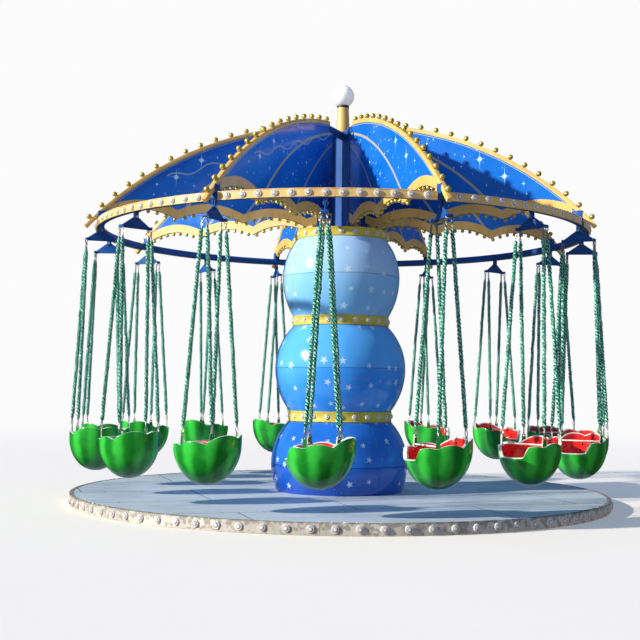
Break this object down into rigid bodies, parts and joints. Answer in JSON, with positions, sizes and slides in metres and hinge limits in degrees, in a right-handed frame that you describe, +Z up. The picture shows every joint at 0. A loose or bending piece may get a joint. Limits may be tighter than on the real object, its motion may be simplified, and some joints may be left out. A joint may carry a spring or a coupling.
{
  "type": "chair swing ride",
  "caption": "Small fairground swing ride: round platform, stacked drum column, turning canopy of curved fins on a lamp ring, and melon-shaped bucket seats on ropes.",
  "frame": {"origin": "middle of the underside of the platform", "axes": "+Z up along the mast; -Y is the front, midway between two canopy fins; +X is to the right"},
  "size_m": [6.0442, 6.0442, 4.8058],
  "materials": {
    "deck_plate": "grey-blue chequer plate, worn",
    "rim_white": "off-white paint, weathered",
    "drum_deep_blue": "glossy deep blue gelcoat with stars",
    "drum_mid_blue": "glossy mid blue gelcoat with stars",
    "drum_light_blue": "glossy light blue gelcoat with stars",
    "belt_gold": "satin gold paint",
    "navy_steel": "satin navy paint",
    "fin_panel": "glossy printed blue panel with star sparkles and gold edging",
    "band_gold": "satin pale gold paint",
    "post_cream": "satin cream-gold paint",
    "globe_white": "glossy opal white",
    "melon_shell": "glossy green melon rind outside, red inside, cream rim",
    "rope_sleeve": "green fabric sleeve over steel chain",
    "zinc_steel": "zinc-plated shackles and links",
    "lamp_clear": "clear lamp caps",
    "ball_gold": "gold mirror ball lamps"
  },
  "bodies": {
    "base": {"column_belt_lower": "belt_gold", "column_belt_middle": "belt_gold", "column_belt_upper": "belt_gold", "column_drum_lower": "drum_deep_blue", "column_drum_middle": "drum_mid_blue", "column_drum_upper": "drum_light_blue", "platform_deck": "deck_plate", "platform_rim": "rim_white"},
    "canopy": {"canopy_fin_01": "fin_panel", "canopy_fin_02": "fin_panel", "canopy_fin_03": "fin_panel", "canopy_fin_04": "fin_panel", "canopy_fin_05": "fin_panel", "canopy_fin_06": "fin_panel", "canopy_fin_07": "fin_panel", "canopy_fin_08": "fin_panel", "canopy_ring_01": "navy_steel", "canopy_ring_02": "navy_steel", "canopy_ring_03": "navy_steel", "canopy_ring_04": "navy_steel", "finial_globe": "globe_white", "finial_post": "post_cream", "mast": "navy_steel", "mast_head": "navy_steel", "ring_band": "band_gold"},
    "swing_01": {"hanger_01": "rope_sleeve", "seat_01": "melon_shell"},
    "swing_02": {"hanger_02": "rope_sleeve", "seat_02": "melon_shell"},
    "swing_03": {"hanger_03": "rope_sleeve", "seat_03": "melon_shell"},
    "swing_04": {"hanger_04": "rope_sleeve", "seat_04": "melon_shell"},
    "swing_05": {"hanger_05": "rope_sleeve", "seat_05": "melon_shell"},
    "swing_06": {"hanger_06": "rope_sleeve", "seat_06": "melon_shell"},
    "swing_07": {"hanger_07": "rope_sleeve", "seat_07": "melon_shell"},
    "swing_08": {"hanger_08": "rope_sleeve", "seat_08": "melon_shell"},
    "swing_09": {"hanger_09": "rope_sleeve", "seat_09": "melon_shell"},
    "swing_10": {"hanger_10": "rope_sleeve", "seat_10": "melon_shell"},
    "swing_11": {"hanger_11": "rope_sleeve", "seat_11": "melon_shell"},
    "swing_12": {"hanger_12": "rope_sleeve", "seat_12": "melon_shell"},
    "swing_13": {"hanger_13": "rope_sleeve", "seat_13": "melon_shell"},
    "swing_14": {"hanger_14": "rope_sleeve", "seat_14": "melon_shell"},
    "swing_15": {"hanger_15": "rope_sleeve", "seat_15": "melon_shell"},
    "swing_16": {"hanger_16": "rope_sleeve", "seat_16": "melon_shell"}
  },
  "joints": [
    {"name": "canopy_spin", "type": "hinge", "parent": "base", "child": "canopy", "pos_m": [0, 0, 3.07], "axis": [0, 0, 1], "continuous": true},
    {"name": "swing_01_hinge", "type": "hinge", "parent": "canopy", "child": "swing_01", "pos_m": [0, -2.74, 2.94], "axis": [-1, 0, 0], "range_deg": [-15, 30]},
    {"name": "swing_02_hinge", "type": "hinge", "parent": "canopy", "child": "swing_02", "pos_m": [1.04855, -2.53143, 2.94], "axis": [-0.9239, -0.3827, 0], "range_deg": [-15, 30]},
    {"name": "swing_03_hinge", "type": "hinge", "parent": "canopy", "child": "swing_03", "pos_m": [1.93747, -1.93747, 2.94], "axis": [-0.7071, -0.7071, 0], "range_deg": [-15, 30]},
    {"name": "swing_04_hinge", "type": "hinge", "parent": "canopy", "child": "swing_04", "pos_m": [2.53143, -1.04855, 2.94], "axis": [-0.3827, -0.9239, 0], "range_deg": [-15, 30]},
    {"name": "swing_05_hinge", "type": "hinge", "parent": "canopy", "child": "swing_05", "pos_m": [2.74, 0, 2.94], "axis": [0, -1, 0], "range_deg": [-15, 30]},
    {"name": "swing_06_hinge", "type": "hinge", "parent": "canopy", "child": "swing_06", "pos_m": [2.53143, 1.04855, 2.94], "axis": [0.3827, -0.9239, 0], "range_deg": [-15, 30]},
    {"name": "swing_07_hinge", "type": "hinge", "parent": "canopy", "child": "swing_07", "pos_m": [1.93747, 1.93747, 2.94], "axis": [0.7071, -0.7071, 0], "range_deg": [-15, 30]},
    {"name": "swing_08_hinge", "type": "hinge", "parent": "canopy", "child": "swing_08", "pos_m": [1.04855, 2.53143, 2.94], "axis": [0.9239, -0.3827, 0], "range_deg": [-15, 30]},
    {"name": "swing_09_hinge", "type": "hinge", "parent": "canopy", "child": "swing_09", "pos_m": [0, 2.74, 2.94], "axis": [1, 0, 0], "range_deg": [-15, 30]},
    {"name": "swing_10_hinge", "type": "hinge", "parent": "canopy", "child": "swing_10", "pos_m": [-1.04855, 2.53143, 2.94], "axis": [0.9239, 0.3827, 0], "range_deg": [-15, 30]},
    {"name": "swing_11_hinge", "type": "hinge", "parent": "canopy", "child": "swing_11", "pos_m": [-1.93747, 1.93747, 2.94], "axis": [0.7071, 0.7071, 0], "range_deg": [-15, 30]},
    {"name": "swing_12_hinge", "type": "hinge", "parent": "canopy", "child": "swing_12", "pos_m": [-2.53143, 1.04855, 2.94], "axis": [0.3827, 0.9239, 0], "range_deg": [-15, 30]},
    {"name": "swing_13_hinge", "type": "hinge", "parent": "canopy", "child": "swing_13", "pos_m": [-2.74, 0, 2.94], "axis": [0, 1, 0], "range_deg": [-15, 30]},
    {"name": "swing_14_hinge", "type": "hinge", "parent": "canopy", "child": "swing_14", "pos_m": [-2.53143, -1.04855, 2.94], "axis": [-0.3827, 0.9239, 0], "range_deg": [-15, 30]},
    {"name": "swing_15_hinge", "type": "hinge", "parent": "canopy", "child": "swing_15", "pos_m": [-1.93747, -1.93747, 2.94], "axis": [-0.7071, 0.7071, 0], "range_deg": [-15, 30]},
    {"name": "swing_16_hinge", "type": "hinge", "parent": "canopy", "child": "swing_16", "pos_m": [-1.04855, -2.53143, 2.94], "axis": [-0.9239, 0.3827, 0], "range_deg": [-15, 30]}
  ]
}
